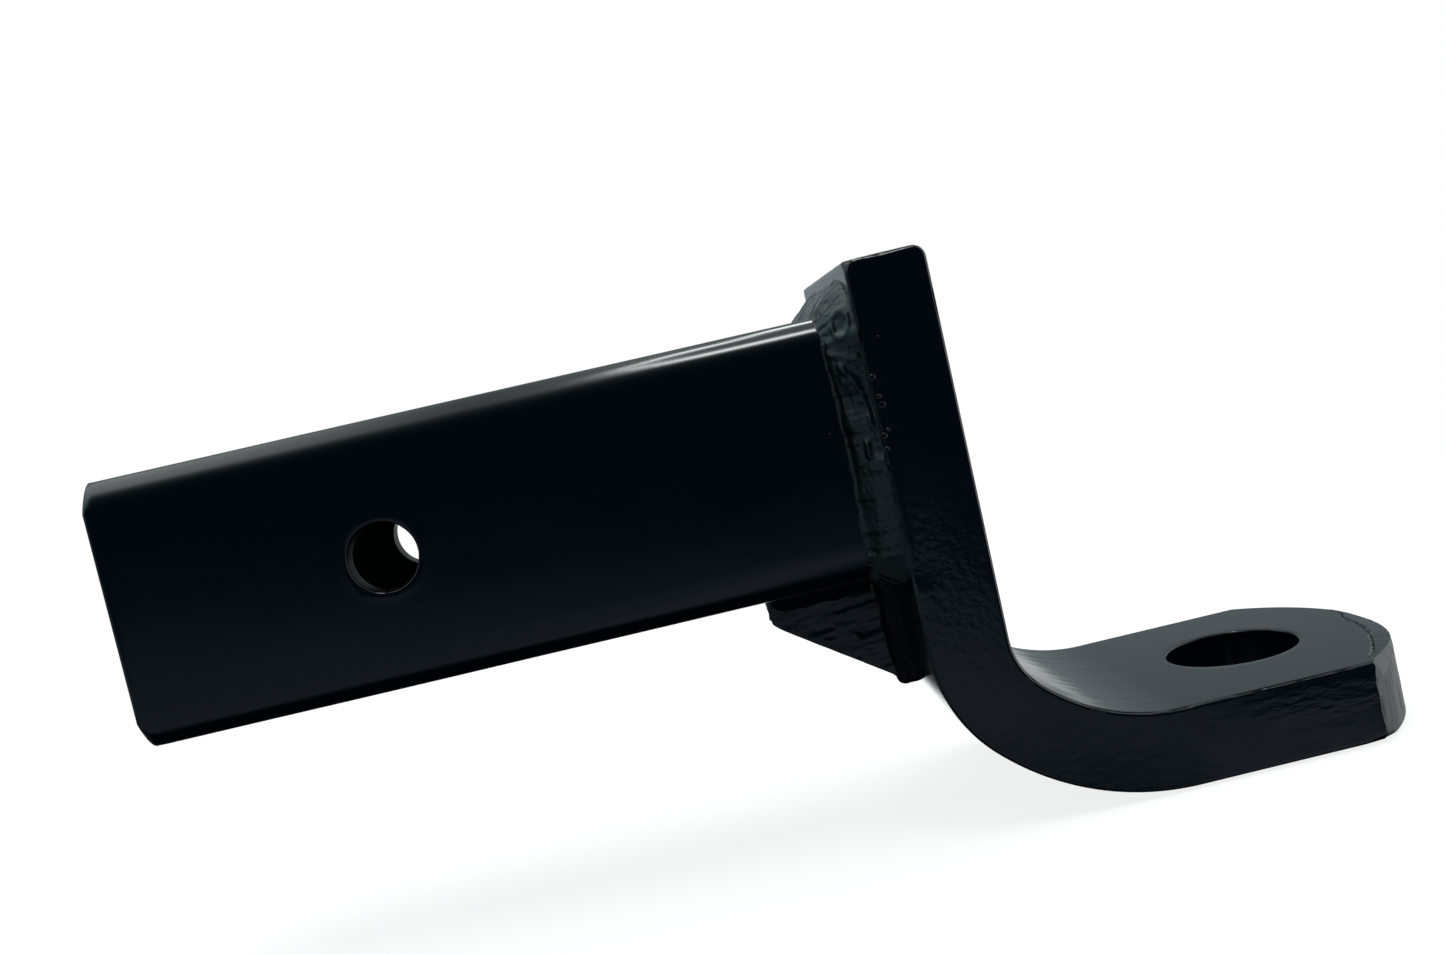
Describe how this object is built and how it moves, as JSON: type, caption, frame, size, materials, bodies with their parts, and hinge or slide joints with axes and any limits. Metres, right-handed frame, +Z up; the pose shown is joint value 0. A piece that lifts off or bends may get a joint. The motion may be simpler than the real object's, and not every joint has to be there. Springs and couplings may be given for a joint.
{
  "type": "ball mount",
  "caption": "Drop ball mount: square hollow shank with a cross pin hole, welded to a thick flat bar bent into a level platform with a ball hole; a small gusset braces the underside.",
  "frame": {"origin": "middle of the pin hole, on the centre line of the square shank", "axes": "+X along the shank from its open end to the ball platform, +Y along the pin hole, +Z up, square to the ball platform"},
  "size_m": [0.3015, 0.08, 0.137],
  "materials": {
    "coated_tube": "black powder coat, satin gloss, on square steel tube",
    "coated_bar": "black powder coat, satin gloss, on hot-rolled flat bar, slightly orange-peeled",
    "coated_plate": "black powder coat, satin gloss, over grinding marks",
    "coated_weld": "black powder coat, glossy, over rippled weld metal"
  },
  "bodies": {
    "root": {"shank_tube": "coated_tube", "tongue_bar": "coated_bar", "gusset": "coated_plate", "shank_weld_right": "coated_weld", "shank_weld_left": "coated_weld", "shank_weld_top": "coated_weld", "shank_weld_bottom": "coated_weld", "gusset_shank_weld_right": "coated_weld", "gusset_shank_weld_left": "coated_weld", "gusset_tongue_weld_right": "coated_weld", "gusset_tongue_weld_left": "coated_weld"}
  },
  "joints": []
}
